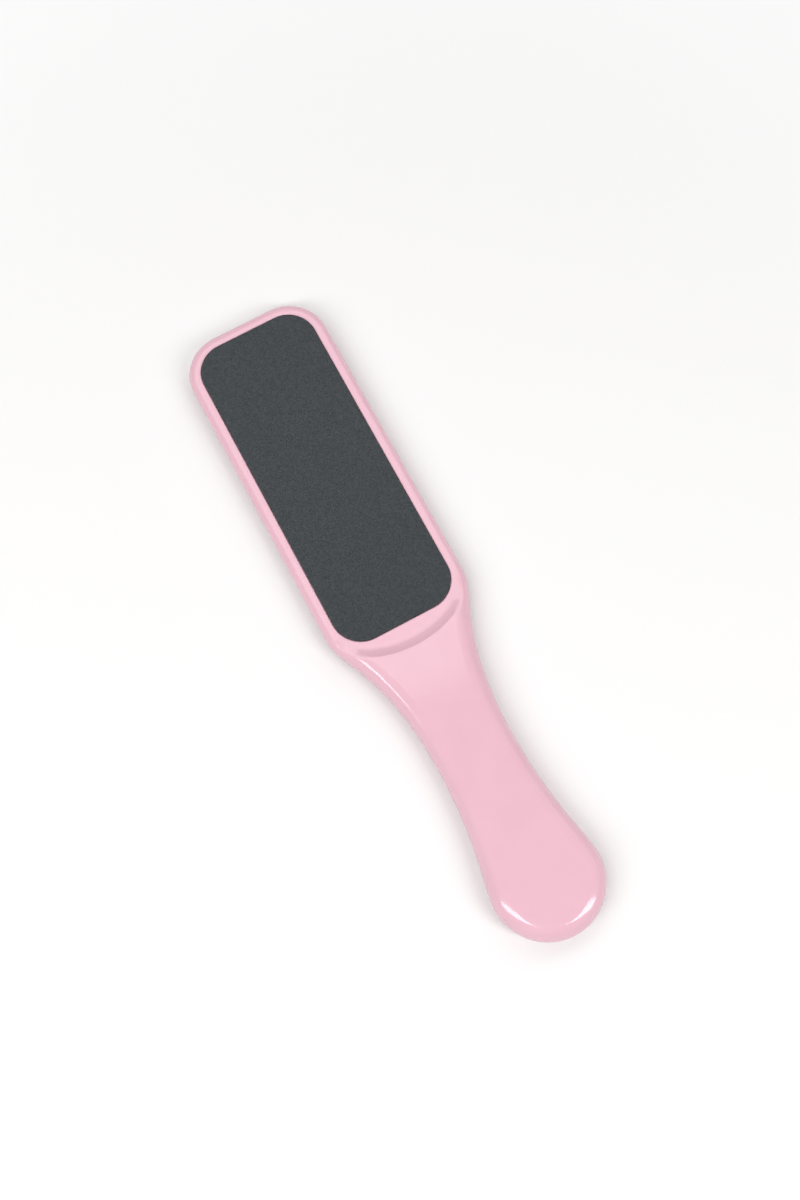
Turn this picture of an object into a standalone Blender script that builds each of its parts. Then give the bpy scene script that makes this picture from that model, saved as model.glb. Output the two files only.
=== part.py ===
"""Two-sided foot scrubber: a paddle moulded in two halves, with an abrasive sheet on each side of its head.

Metres, +Z up. The paddle lies flat with the head's tip at +Y and the front side on top.
The origin is the middle of the paddle's outline, on the surface that it lies on.
"""

import math

import bmesh
import bpy
from mathutils import Vector

# Outline of the paddle, from the tip of the head to the end of the handle.
HEAD_WIDTH = 0.0512
HEAD_LENGTH = 0.1141
HEAD_CORNER_RADIUS = 0.0144
SHOULDER_RADIUS = 0.012
SHOULDER_ANGLE = math.radians(13.5)
FLARE_LENGTH = 0.055
WAIST_WIDTH = 0.0268
SWELL_LENGTH = 0.0462
BULB_WIDTH = 0.0376
FLARE_HANDLE_SHARES = (0.156, 0.62)
SWELL_HANDLE_SHARES = (0.572, 0.142)

# Thickness of the closed paddle, and how its faces are rounded.
HEAD_THICKNESS = 0.0074
HANDLE_THICKNESS = 0.013
HANDLE_EDGE_RADIUS = 0.0055
SEAM_LAND = 0.0004
CREST_DROP = 0.0007

# The arched step where the head's flat face meets the thicker handle.
CREST_SIDE_MARGIN = 0.0021
CREST_DEPTH = 0.014
CREST_SETBACK = 0.0019
STEP_RUN = 0.0045
CHEEK_LEAD = 0.007
CHEEK_LENGTH = 0.02

# Walls, ribs, locating posts and the lip that joins the two halves.
WALL = 0.002
FIT = 0.0003
LIP_SETBACK = 0.0011
LIP_THICKNESS = 0.0008
LIP_REACH = 0.0012
LIP_ROOT = 0.0006
RIB_THICKNESS = 0.0012
RIB_PITCH = 0.024
PIN_DIAMETER = 0.003
POST_WALL = 0.0014

# The abrasive sheets, their adhesive film and the recess that they sit in.
RIM = 0.0044
TIP_RIM = 0.0047
SHEET_LENGTH = 0.1164
SHEET_CORNER_RADIUS = 0.0103
RECESS_DEPTH = 0.0009
FILM_THICKNESS = 0.0002
COARSE_SHEET_THICKNESS = 0.0009
FINE_SHEET_THICKNESS = 0.0007

# Cutters run past what they cut by this much, and mesh points nearer than this are one point.
OVERRUN = 0.002
MERGE_DISTANCE = 0.00002

# Mesh fineness, as counts. Rows lie along the tip's corner, head, cheek, step, flare and swell in turn.
OUTSIDE_ROWS = (6, 2, 6, 5, 9, 10)
OUTSIDE_COLUMNS = 16
OUTSIDE_EDGE_STEPS = 4
HOLLOW_ROWS = (3, 2, 3, 3, 4, 5)
HOLLOW_COLUMNS = 8
HOLLOW_EDGE_STEPS = 2
ROUND_SIDES = 20
CORNER_SEGMENTS = 8
OUTLINE_SAMPLES = 16
HALVINGS = 40

PINK = (0.896, 0.539, 0.638, 1.0)
CHARCOAL = (0.064, 0.073, 0.080, 1.0)
GRAPHITE = (0.045, 0.050, 0.055, 1.0)
FILM_WHITE = (0.81, 0.80, 0.76, 1.0)

LENGTH = HEAD_LENGTH + FLARE_LENGTH + SWELL_LENGTH + BULB_WIDTH / 2
TIP_Y = LENGTH / 2
SHOULDER_Y = TIP_Y - HEAD_LENGTH
WAIST_Y = SHOULDER_Y - FLARE_LENGTH
BULB_Y = WAIST_Y - SWELL_LENGTH
LAND = HEAD_THICKNESS / 2
SEAM = FIT / 2
CREST_Y = SHOULDER_Y - CREST_SETBACK
CREST_WIDTH = HEAD_WIDTH - 2 * CREST_SIDE_MARGIN
CHEEK_Y = SHOULDER_Y + CHEEK_LEAD
SHEET_WIDTH = HEAD_WIDTH - 2 * RIM
SHEET_Y = TIP_Y - TIP_RIM - SHEET_LENGTH / 2
RECESS_FLOOR = LAND - RECESS_DEPTH
FILM_BOTTOM = RECESS_FLOOR + FIT
SHEET_BOTTOM = FILM_BOTTOM + FILM_THICKNESS + FIT


def lerp(start, end, share):
    return start + (end - start) * share


def smooth_share(share):
    share = min(max(share, 0.0), 1.0)
    return share * share * (3 - 2 * share)


def handle_share(y):
    """0 on the head and 1 on the handle, with a soft change along the cheeks beside the step."""
    return smooth_share((CHEEK_Y - y) / CHEEK_LENGTH)


def edge_radius(y):
    """Radius of the rounded edge at this place, no more than the half's own height leaves room for."""
    head_radius = LAND - SEAM_LAND
    handle_radius = min(HANDLE_EDGE_RADIUS, HANDLE_THICKNESS / 2 - SEAM_LAND)
    return lerp(head_radius, handle_radius, handle_share(y))


def step_share(x, y):
    """0 on the head's flat face and 1 past the crest, which is half an ellipse that opens to the head."""
    across = x / (CREST_WIDTH / 2)
    along = max(CREST_Y - y, 0) / CREST_DEPTH
    reach = math.hypot(across, along)
    if reach == 0:
        return 0.0
    slope = math.hypot(across / (CREST_WIDTH / 2), along / CREST_DEPTH) / reach
    gap_to_crest = (1 - reach) / slope
    share = min(max(1 - gap_to_crest / STEP_RUN, 0.0), 1.0)
    return 1 - math.cos(share * math.pi / 2)


def face_height(x, y):
    """Height of a half's face above the seam plane, before its edge is rounded."""
    before_waist = max(y - WAIST_Y, 0) / (CREST_Y - CREST_DEPTH - WAIST_Y)
    handle_height = HANDLE_THICKNESS / 2 - CREST_DROP * before_waist**2
    return LAND + (handle_height - LAND) * handle_share(y) * step_share(x, y)


def arc_samples(centre, radius, start, end, steps):
    """(point, outward normal) along an arc, with angles clockwise from +Y."""
    samples = []
    for i in range(steps + 1):
        angle = lerp(start, end, i / steps)
        normal = Vector((math.sin(angle), math.cos(angle)))
        samples.append((centre + radius * normal, normal))
    return samples


def curve_samples(start, start_normal, end, shares, steps):
    """(point, outward normal) along a Bezier curve that starts square to its normal and ends along -Y."""
    span = start.y - end.y
    leave = Vector((start_normal.y, -start_normal.x))
    first = start + leave * span * shares[0]
    second = end + Vector((0, span * shares[1]))
    samples = []
    for i in range(1, steps + 1):
        t = i / steps
        s = 1 - t
        point = s**3 * start + 3 * s * s * t * first + 3 * s * t * t * second + t**3 * end
        run = s * s * (first - start) + 2 * s * t * (second - first) + t * t * (end - second)
        samples.append((point, Vector((-run.y, run.x)).normalized()))
    return samples


def side_samples():
    """(point, outward normal) down the right side, from the tip's corner to the bulb's widest place."""
    half_head = HEAD_WIDTH / 2
    straight_start = Vector((half_head, TIP_Y - HEAD_CORNER_RADIUS))
    shoulder_centre = Vector((half_head - SHOULDER_RADIUS, SHOULDER_Y))
    quarter = math.pi / 2
    samples = [(straight_start, Vector((1, 0)))]
    shoulder_end = quarter + SHOULDER_ANGLE
    samples += arc_samples(shoulder_centre, SHOULDER_RADIUS, quarter, shoulder_end, OUTLINE_SAMPLES)
    point, normal = samples[-1]
    waist = Vector((WAIST_WIDTH / 2, WAIST_Y))
    bulb = Vector((BULB_WIDTH / 2, BULB_Y))
    samples += curve_samples(point, normal, waist, FLARE_HANDLE_SHARES, OUTLINE_SAMPLES)
    samples += curve_samples(waist, Vector((1, 0)), bulb, SWELL_HANDLE_SHARES, OUTLINE_SAMPLES)
    return samples


SIDE = side_samples()


def side_at(y):
    """(point, outward normal) on the right side at this place along the paddle."""
    for (upper, upper_normal), (lower, lower_normal) in zip(SIDE, SIDE[1:]):
        if y >= lower.y:
            share = (upper.y - y) / (upper.y - lower.y)
            return upper.lerp(lower, share), upper_normal.lerp(lower_normal, share).normalized()
    return SIDE[-1]


def crest_depth(x):
    """How far the crest lies behind CREST_Y at this distance from the middle line."""
    across = min(abs(x) / (CREST_WIDTH / 2), 1.0)
    return CREST_DEPTH * math.sqrt(1 - across * across)


def crest_end():
    """Place along the side where the crest meets the rounded edge, found by halving."""
    upper = SHOULDER_Y
    lower = WAIST_Y
    for _ in range(HALVINGS):
        middle = (upper + lower) / 2
        point, normal = side_at(middle)
        inner = point - normal * edge_radius(middle)
        if inner.y > CREST_Y - crest_depth(inner.x):
            upper = middle
        else:
            lower = middle
    return upper


CREST_END_Y = crest_end()
SLOPE_Y = CREST_END_Y + STEP_RUN


def row_shape(y, end_x, turn):
    """(x, how far the row lies behind its end) at this turn along a grid row that ends at end_x.

    The rows bend into the crest's own curve, so that one lies on it, then straighten towards the waist
    and bend again into the bulb's round end.
    """
    x = end_x * math.sin(turn)
    before = smooth_share((CHEEK_Y - y) / (CHEEK_Y - SLOPE_Y))
    past = smooth_share((CREST_END_Y - y) / (CREST_END_Y - WAIST_Y))
    into_bulb = max(WAIST_Y - y, 0) / SWELL_LENGTH
    bulb_bend = (BULB_WIDTH / 2 - edge_radius(BULB_Y)) * into_bulb**2
    crest_bend = crest_depth(x) - crest_depth(end_x)
    return x, before * (1 - past) * crest_bend + bulb_bend * math.cos(turn)


def row_edges(row_counts):
    """(outline point, outward normal) on the right side for each row of the grid, tip first."""
    corner_rows, head_rows, cheek_rows, step_rows, flare_rows, swell_rows = row_counts
    corner = Vector((HEAD_WIDTH / 2 - HEAD_CORNER_RADIUS, TIP_Y - HEAD_CORNER_RADIUS))
    edges = arc_samples(corner, HEAD_CORNER_RADIUS, 0, math.pi / 2, corner_rows)
    stretches = (
        (TIP_Y - HEAD_CORNER_RADIUS, CHEEK_Y, head_rows),
        (CHEEK_Y, SLOPE_Y, cheek_rows),
        (SLOPE_Y, CREST_END_Y, step_rows),
        (CREST_END_Y, WAIST_Y, flare_rows),
        (WAIST_Y, BULB_Y, swell_rows),
    )
    for start, end, rows in stretches:
        edges += [side_at(lerp(start, end, i / rows)) for i in range(1, rows + 1)]
    return edges


def outline_loop(inset):
    """Closed outline of the paddle, drawn in by inset, clockwise from the tip's right corner."""
    corner = Vector((HEAD_WIDTH / 2 - HEAD_CORNER_RADIUS, TIP_Y - HEAD_CORNER_RADIUS))
    right = arc_samples(corner, HEAD_CORNER_RADIUS, 0, math.pi / 2, CORNER_SEGMENTS)
    right += SIDE[1:-1]
    end = arc_samples(Vector((0, BULB_Y)), BULB_WIDTH / 2, math.pi / 2, math.pi, ROUND_SIDES // 2)
    half = [point - normal * inset for point, normal in right + end]
    return half + [Vector((-point.x, point.y)) for point in reversed(half[:-1])]


def paddle_solid(name, side, inset, foot, row_counts, columns, edge_steps):
    """Closed half of the paddle, drawn in by inset. side is 1 for the front half and -1 for the back half.

    A grid covers the face inside the rounded edge, rings round the grid make the edge and the straight
    side down to foot, and one face closes the foot.
    """
    mesh = bmesh.new()
    grid = []
    rim = {}
    edges = row_edges(row_counts)
    last = len(edges) - 1
    for i, (point, normal) in enumerate(edges):
        inner = point - normal * edge_radius(point.y)
        row = []
        for j in range(columns + 1):
            turn = lerp(-math.pi / 2, math.pi / 2, j / columns)
            x, behind = row_shape(point.y, inner.x, turn)
            y = inner.y - behind
            row.append(mesh.verts.new((x, y, side * (face_height(x, y) - inset))))
            if i == 0:
                rim[i, j] = Vector((0, 1))
            elif i == last:
                rim[i, j] = Vector((math.sin(turn), -math.cos(turn)))
            elif j == 0:
                rim[i, j] = Vector((-normal.x, normal.y))
            elif j == columns:
                rim[i, j] = normal
        grid.append(row)
    for upper, lower in zip(grid, grid[1:]):
        for j in range(columns):
            mesh.faces.new((upper[j], lower[j], lower[j + 1], upper[j + 1]))
    places = [(0, j) for j in range(columns)]
    places += [(i, columns) for i in range(last)]
    places += [(last, j) for j in range(columns, 0, -1)]
    places += [(i, 0) for i in range(last, 0, -1)]
    ring = [grid[i][j] for i, j in places]
    for step in range(1, edge_steps + 2):
        turn = math.pi / 2 * max(1 - step / edge_steps, 0)
        new_ring = []
        for i, j in places:
            base = Vector(grid[i][j].co[:2])
            radius = edge_radius(edges[i][0].y)
            spot = base + rim[i, j] * (radius - inset) * math.cos(turn)
            height = face_height(*spot) - inset - (radius - inset) * (1 - math.sin(turn))
            if step > edge_steps:
                height = foot
            new_ring.append(mesh.verts.new((*spot, side * height)))
        for k in range(len(places)):
            mesh.faces.new((ring[k - 1], ring[k], new_ring[k], new_ring[k - 1]))
        ring = new_ring
    bmesh.ops.triangulate(mesh, faces=mesh.faces)
    mesh.faces.new(ring)
    bmesh.ops.recalc_face_normals(mesh, faces=mesh.faces)
    return new_object(name, mesh)


def new_object(name, mesh):
    """Object made from a bmesh, in no collection yet."""
    data = bpy.data.meshes.new(name)
    mesh.to_mesh(data)
    mesh.free()
    return bpy.data.objects.new(name, data)


def box(name, size, centre):
    mesh = bmesh.new()
    bmesh.ops.create_cube(mesh, size=1)
    bmesh.ops.scale(mesh, vec=size, verts=mesh.verts)
    bmesh.ops.translate(mesh, vec=centre, verts=mesh.verts)
    return new_object(name, mesh)


def rounded_plate(name, margin, low, high):
    """Flat plate with the sheet's outline, made wider all round by margin, between two heights."""
    mesh = bmesh.new()
    bmesh.ops.create_cube(mesh, size=1)
    upright = [edge for edge in mesh.edges if edge.verts[0].co.xy == edge.verts[1].co.xy]
    size = (SHEET_WIDTH + 2 * margin, SHEET_LENGTH + 2 * margin, abs(high - low))
    bmesh.ops.scale(mesh, vec=size, verts=mesh.verts)
    bmesh.ops.bevel(
        mesh,
        geom=upright,
        offset=SHEET_CORNER_RADIUS + margin,
        offset_type="OFFSET",
        segments=CORNER_SEGMENTS,
        profile=0.5,
        affect="EDGES",
    )
    bmesh.ops.translate(mesh, vec=(0, SHEET_Y, (low + high) / 2), verts=mesh.verts)
    return new_object(name, mesh)


def outline_band(name, outer_inset, inner_inset, low, high):
    """Flat band that follows the paddle's outline between two insets and two heights."""
    curve = bpy.data.curves.new(name, "CURVE")
    curve.dimensions = "2D"
    curve.fill_mode = "BOTH"
    curve.extrude = abs(high - low) / 2
    for inset in (outer_inset, inner_inset):
        loop = outline_loop(inset)
        spline = curve.splines.new("POLY")
        spline.points.add(len(loop) - 1)
        spline.use_cyclic_u = True
        for control, point in zip(spline.points, loop):
            control.co = (point.x, point.y, 0, 1)
    guide = bpy.data.objects.new(name + "_outline", curve)
    bpy.context.scene.collection.objects.link(guide)
    bpy.context.view_layer.update()
    filled = bpy.data.meshes.new_from_object(guide.evaluated_get(bpy.context.evaluated_depsgraph_get()))
    bpy.data.objects.remove(guide)
    mesh = bmesh.new()
    mesh.from_mesh(filled)
    bpy.data.meshes.remove(filled)
    bmesh.ops.remove_doubles(mesh, verts=mesh.verts, dist=MERGE_DISTANCE)
    bmesh.ops.translate(mesh, vec=(0, 0, (low + high) / 2), verts=mesh.verts)
    bmesh.ops.recalc_face_normals(mesh, faces=mesh.faces)
    return new_object(name, mesh)


def upright_rod(name, radius, place_y, low, high):
    mesh = bmesh.new()
    bmesh.ops.create_cone(
        mesh,
        cap_ends=True,
        segments=ROUND_SIDES,
        radius1=radius,
        radius2=radius,
        depth=abs(high - low),
    )
    bmesh.ops.translate(mesh, vec=(0, place_y, (low + high) / 2), verts=mesh.verts)
    return new_object(name, mesh)


def rib_places():
    """Places of the cross ribs along the paddle, which part the inside into bays of one length."""
    inside = LENGTH - 2 * WALL
    bays = round(inside / RIB_PITCH)
    return [TIP_Y - WALL - inside * i / bays for i in range(1, bays)]


def post_places():
    """Every second rib carries a locating post where it crosses the spine."""
    return rib_places()[::2]


def combine(target, tool, operation, collection):
    """Boolean of target with a hidden tool object."""
    if tool.name not in collection.objects:
        collection.objects.link(tool)
        tool.parent = target.parent
        tool.hide_render = True
        tool.display_type = "WIRE"
    modifier = target.modifiers.new(operation.lower() + "_" + tool.name, "BOOLEAN")
    modifier.operation = operation
    modifier.object = tool
    modifier.solver = "EXACT"


def hollow(name, side, cutters):
    """The space inside a half: its walls' inner shape, less the ribs, the spine and the locating posts."""
    space = paddle_solid(
        name + "_hollow", side, WALL, -OVERRUN, HOLLOW_ROWS, HOLLOW_COLUMNS, HOLLOW_EDGE_STEPS
    )
    cutters.objects.link(space)
    space.hide_render = True
    space.display_type = "WIRE"
    tall = 2 * (HANDLE_THICKNESS + OVERRUN)
    spine = box(name + "_spine", (RIB_THICKNESS, LENGTH, tall), (0, 0, 0))
    combine(space, spine, "DIFFERENCE", cutters)
    for number, y in enumerate(rib_places()):
        rib = box(f"{name}_rib_{number}", (HEAD_WIDTH, RIB_THICKNESS, tall), (0, y, 0))
        combine(space, rib, "DIFFERENCE", cutters)
    for number, y in enumerate(post_places()):
        post = upright_rod(f"{name}_post_{number}", PIN_DIAMETER / 2 + FIT + POST_WALL, y, -tall, tall)
        combine(space, post, "DIFFERENCE", cutters)
    return space


def shell(name, side, cutters):
    """One moulded half of the paddle, open at the seam, with the recess for its abrasive sheet."""
    half = paddle_solid(name, side, 0, SEAM, OUTSIDE_ROWS, OUTSIDE_COLUMNS, OUTSIDE_EDGE_STEPS)
    combine(half, hollow(name, side, cutters), "DIFFERENCE", cutters)
    above = side * (HANDLE_THICKNESS / 2 + OVERRUN)
    recess = rounded_plate(name + "_recess", FIT, side * RECESS_FLOOR, above)
    combine(half, recess, "DIFFERENCE", cutters)
    return half


def front_shell(cutters):
    """Front half, with the lip and the pins that locate it in the back half."""
    half = shell("front_shell", 1, cutters)
    lip = outline_band("front_shell_lip", LIP_SETBACK, LIP_SETBACK + LIP_THICKNESS, -LIP_REACH, LIP_ROOT)
    combine(half, lip, "UNION", cutters)
    for number, y in enumerate(post_places()):
        pin = upright_rod(f"front_shell_pin_{number}", PIN_DIAMETER / 2, y, -LIP_REACH, LIP_ROOT)
        combine(half, pin, "UNION", cutters)
    return half


def back_shell(cutters):
    """Back half, with the rebate for the lip and a socket for each pin."""
    half = shell("back_shell", -1, cutters)
    floor = -LIP_REACH - FIT
    inner_edge = LIP_SETBACK + LIP_THICKNESS + FIT
    rebate = outline_band("back_shell_rebate", LIP_SETBACK - FIT, inner_edge, floor, OVERRUN)
    combine(half, rebate, "DIFFERENCE", cutters)
    for number, y in enumerate(post_places()):
        socket = upright_rod(f"back_shell_socket_{number}", PIN_DIAMETER / 2 + FIT, y, floor, OVERRUN)
        combine(half, socket, "DIFFERENCE", cutters)
    return half


def adhesive_film(name, side):
    return rounded_plate(name, 0, side * FILM_BOTTOM, side * (FILM_BOTTOM + FILM_THICKNESS))


def abrasive_sheet(name, side, thickness):
    return rounded_plate(name, 0, side * SHEET_BOTTOM, side * (SHEET_BOTTOM + thickness))


def material(name, colour, roughness):
    finish = bpy.data.materials.new(name)
    finish.use_nodes = True
    shader = finish.node_tree.nodes["Principled BSDF"]
    shader.inputs["Base Color"].default_value = colour
    shader.inputs["Roughness"].default_value = roughness
    shader.inputs["Metallic"].default_value = 0
    finish.diffuse_color = colour
    return finish


def new_collection(name):
    collection = bpy.data.collections.new(name)
    bpy.context.scene.collection.children.link(collection)
    return collection


def main():
    for leftover in list(bpy.data.objects):
        bpy.data.objects.remove(leftover)
    parts = new_collection("foot_scrubber")
    cutters = new_collection("foot_scrubber_cutters")
    centre = bpy.data.objects.new("paddle_centre", None)
    centre.location = (0, 0, HANDLE_THICKNESS / 2)
    parts.objects.link(centre)

    pink_abs = material("pink_abs", PINK, 0.32)
    coarse_grit = material("coarse_grit", CHARCOAL, 0.75)
    fine_grit = material("fine_grit", GRAPHITE, 0.65)
    film = material("adhesive_film", FILM_WHITE, 0.5)
    pieces = (
        (front_shell(cutters), pink_abs),
        (back_shell(cutters), pink_abs),
        (adhesive_film("coarse_adhesive_film", 1), film),
        (abrasive_sheet("coarse_abrasive_sheet", 1, COARSE_SHEET_THICKNESS), coarse_grit),
        (adhesive_film("fine_adhesive_film", -1), film),
        (abrasive_sheet("fine_abrasive_sheet", -1, FINE_SHEET_THICKNESS), fine_grit),
    )
    for piece, finish in pieces:
        parts.objects.link(piece)
        piece.data.materials.append(finish)
    for piece in list(parts.objects) + list(cutters.objects):
        if piece != centre:
            piece.parent = centre
    for piece, _ in pieces[:2]:
        piece.data.shade_smooth()
        piece.data.set_sharp_from_angle(angle=math.radians(35))


main()
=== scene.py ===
# %% [markdown]
# # A two-sided foot scrubber
#
# The object is a hand tool for hard skin: a pink paddle moulded in two thin halves, with a dark
# abrasive sheet stuck in a shallow recess on each side of its head. This lesson loads the solid
# model of it as a fixed frame, then makes the surfaces that a camera sees: smooth moulded faces,
# sheets with real grit on them, and a finish for each. All lengths are in metres. The paddle lies
# flat with the tip of its head at +Y and its front side up.

# %% Load the fixed frame
import math

import bmesh
import bpy
from mathutils import Matrix, Vector


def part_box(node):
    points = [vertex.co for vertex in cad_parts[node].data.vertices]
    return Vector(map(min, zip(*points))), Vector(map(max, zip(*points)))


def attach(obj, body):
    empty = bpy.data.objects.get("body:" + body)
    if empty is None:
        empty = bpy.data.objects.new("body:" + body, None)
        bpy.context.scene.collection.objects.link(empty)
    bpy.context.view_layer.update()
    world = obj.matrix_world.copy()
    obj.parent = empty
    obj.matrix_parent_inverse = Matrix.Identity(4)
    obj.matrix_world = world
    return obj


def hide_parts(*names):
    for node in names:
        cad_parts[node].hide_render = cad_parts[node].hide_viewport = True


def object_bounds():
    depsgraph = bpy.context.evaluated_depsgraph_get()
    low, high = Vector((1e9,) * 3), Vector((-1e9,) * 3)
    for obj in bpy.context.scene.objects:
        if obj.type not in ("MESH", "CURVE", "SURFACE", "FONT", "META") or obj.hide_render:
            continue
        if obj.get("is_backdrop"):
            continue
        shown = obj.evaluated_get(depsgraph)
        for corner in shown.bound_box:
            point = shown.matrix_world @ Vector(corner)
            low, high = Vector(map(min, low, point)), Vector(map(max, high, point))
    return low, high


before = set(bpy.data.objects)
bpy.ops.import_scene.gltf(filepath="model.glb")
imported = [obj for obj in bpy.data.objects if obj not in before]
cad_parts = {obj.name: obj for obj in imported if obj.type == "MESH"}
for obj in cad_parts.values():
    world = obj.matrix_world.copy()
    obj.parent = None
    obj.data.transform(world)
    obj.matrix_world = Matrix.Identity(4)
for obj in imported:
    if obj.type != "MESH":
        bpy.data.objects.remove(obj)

cad_low, cad_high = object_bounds()
print("Solids in the frame:", ", ".join(sorted(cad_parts)))

# %% [markdown]
# ## Sizes that the moulded faces follow
#
# A moulder would cut both faces of the tool from one drawing: an outline, a flat head, a thicker
# handle with rounded edges, and an arched step between them. The same few sizes are written down
# once here. The solids of the frame use the same values, so the new surfaces lie on them.

# %% Write down the drawing's sizes
HEAD_WIDTH = 0.0512
HEAD_LENGTH = 0.1141
HEAD_CORNER_RADIUS = 0.0144
SHOULDER_RADIUS = 0.012
SHOULDER_ANGLE = math.radians(13.5)
FLARE_LENGTH = 0.055
WAIST_WIDTH = 0.0268
SWELL_LENGTH = 0.0462
BULB_WIDTH = 0.0376
HEAD_THICKNESS = 0.0074
HANDLE_THICKNESS = cad_high.z - cad_low.z
HANDLE_EDGE_RADIUS = 0.0055
SEAM_LAND = 0.0004
CREST_DROP = 0.0007
CREST_WIDTH = 0.047
CREST_DEPTH = 0.014
CREST_SETBACK = 0.0019
STEP_RUN = 0.0045
CHEEK_LEAD = 0.007
CHEEK_LENGTH = 0.02
WALL = 0.002

TIP_Y = cad_high.y
SHOULDER_Y = TIP_Y - HEAD_LENGTH
WAIST_Y = SHOULDER_Y - FLARE_LENGTH
BULB_Y = WAIST_Y - SWELL_LENGTH
CREST_Y = SHOULDER_Y - CREST_SETBACK
CHEEK_Y = SHOULDER_Y + CHEEK_LEAD
LAND = HEAD_THICKNESS / 2
SEAM_HEIGHT = HANDLE_THICKNESS / 2
LENGTH = cad_high.y - cad_low.y
print(f"The paddle is {1000 * LENGTH:.1f} mm long and {1000 * HANDLE_THICKNESS:.1f} mm thick")

# %% [markdown]
# ## One helper for every node
#
# Materials and Geometry Nodes are both graphs of small nodes. A script that builds them stays short
# if one function adds a node, changes its settings, and fills its inputs with values or with the
# outputs of other nodes. Smaller helpers turn a colour picked on a screen into the linear light that
# shaders work with, start a new material, and put a new object in the scene.

# %% Helpers: nodes, colours, materials and objects
def add_node(tree, kind, inputs=(), **settings):
    """New node of this kind. inputs maps a socket's name or number to a value or a node's output."""
    node = tree.nodes.new(kind)
    for name, value in settings.items():
        setattr(node, name, value)
    for key, value in dict(inputs).items():
        if isinstance(value, bpy.types.NodeSocket):
            tree.links.new(value, node.inputs[key])
        else:
            node.inputs[key].default_value = value
    return node


def linear(hex_colour):
    """Linear colour, with alpha, of an sRGB hex value, because shaders work with linear light."""
    colour = []
    for start in (1, 3, 5):
        share = int(hex_colour[start : start + 2], 16) / 255
        colour.append(share / 12.92 if share <= 0.04045 else ((share + 0.055) / 1.055) ** 2.4)
    return (*colour, 1.0)


def new_finish(name):
    """Material with this name, its node tree and its shader."""
    finish = bpy.data.materials.new(name)
    finish.use_nodes = True
    return finish, finish.node_tree, finish.node_tree.nodes["Principled BSDF"]


def add_object(name, data):
    """Object of this mesh, lamp or camera, in the scene and at the origin."""
    obj = bpy.data.objects.new(name, data)
    bpy.context.scene.collection.objects.link(obj)
    return obj


# %% [markdown]
# ## Finish: injection-moulded ABS, pale pink
#
# The shells are ABS with pink pigment, moulded in a polished tool. The eye reads that from an even
# colour, a fairly sharp highlight with a soft rim, and a surface that isn't quite flat: the melt
# shrinks as it cools and leaves a very low swell nearly a centimetre wide. ABS has an IOR of about
# 1.54. The swell and a fine satin grain are two noise patterns on Object coordinates, which stay in
# place on the part when it is turned.

# %% Make the pink ABS
ABS_IOR = 1.54
SWELL_SPACING = 0.009
SWELL_DEPTH = 0.00006
SATIN_SPACING = 0.0006
SATIN_DEPTH = 0.000004
pink_abs, tree, shader = new_finish("moulded_pink_abs")
place = add_node(tree, "ShaderNodeTexCoord")
swell = add_node(
    tree, "ShaderNodeTexNoise", {"Vector": place.outputs["Object"], "Scale": 1 / SWELL_SPACING, "Detail": 1.0}
)
satin = add_node(
    tree, "ShaderNodeTexNoise", {"Vector": place.outputs["Object"], "Scale": 1 / SATIN_SPACING, "Detail": 2.0}
)
tint = add_node(
    tree,
    "ShaderNodeMix",
    {"Factor": swell.outputs["Fac"], "A": linear("#e2b3c1"), "B": linear("#e5b8c5")},
    data_type="RGBA",
)
gloss = add_node(
    tree, "ShaderNodeMapRange", {"Value": satin.outputs["Fac"], "To Min": 0.09, "To Max": 0.14}
)
swell_bump = add_node(
    tree, "ShaderNodeBump", {"Height": swell.outputs["Fac"], "Strength": 0.15, "Distance": SWELL_DEPTH}
)
satin_bump = add_node(
    tree,
    "ShaderNodeBump",
    {
        "Height": satin.outputs["Fac"],
        "Strength": 0.2,
        "Distance": SATIN_DEPTH,
        "Normal": swell_bump.outputs["Normal"],
    },
)
shader.inputs["IOR"].default_value = ABS_IOR
tree.links.new(tint.outputs["Result"], shader.inputs["Base Color"])
tree.links.new(gloss.outputs["Result"], shader.inputs["Roughness"])
tree.links.new(satin_bump.outputs["Normal"], shader.inputs["Normal"])
print("Made", pink_abs.name)

# %% [markdown]
# ## Finish: abrasive grit in dark resin
#
# An abrasive sheet is grit scattered on a coat of resin and locked by a second coat. Up close it is
# many dark facets, each tilted its own way, so it looks matte with a faint sheen. The grains hide
# part of each other's shine, so the specular level is low. A Voronoi pattern gives one cell for each
# grain: the cell's random colour varies the lightness and the gloss, and the distance from its
# centre makes it a small bump. The two sides differ in the size of the grain: about 0.3 mm on the
# coarse side and 0.18 mm on the fine side. Both are drawn nearly twice as coarse as that, because
# grains of the real size would be smaller than a pixel.

# %% Make the two grit finishes
GRAIN_HEIGHT_SHARE = 1 / 6
CRUMB_HEIGHT_SHARE = 1 / 8


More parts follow.
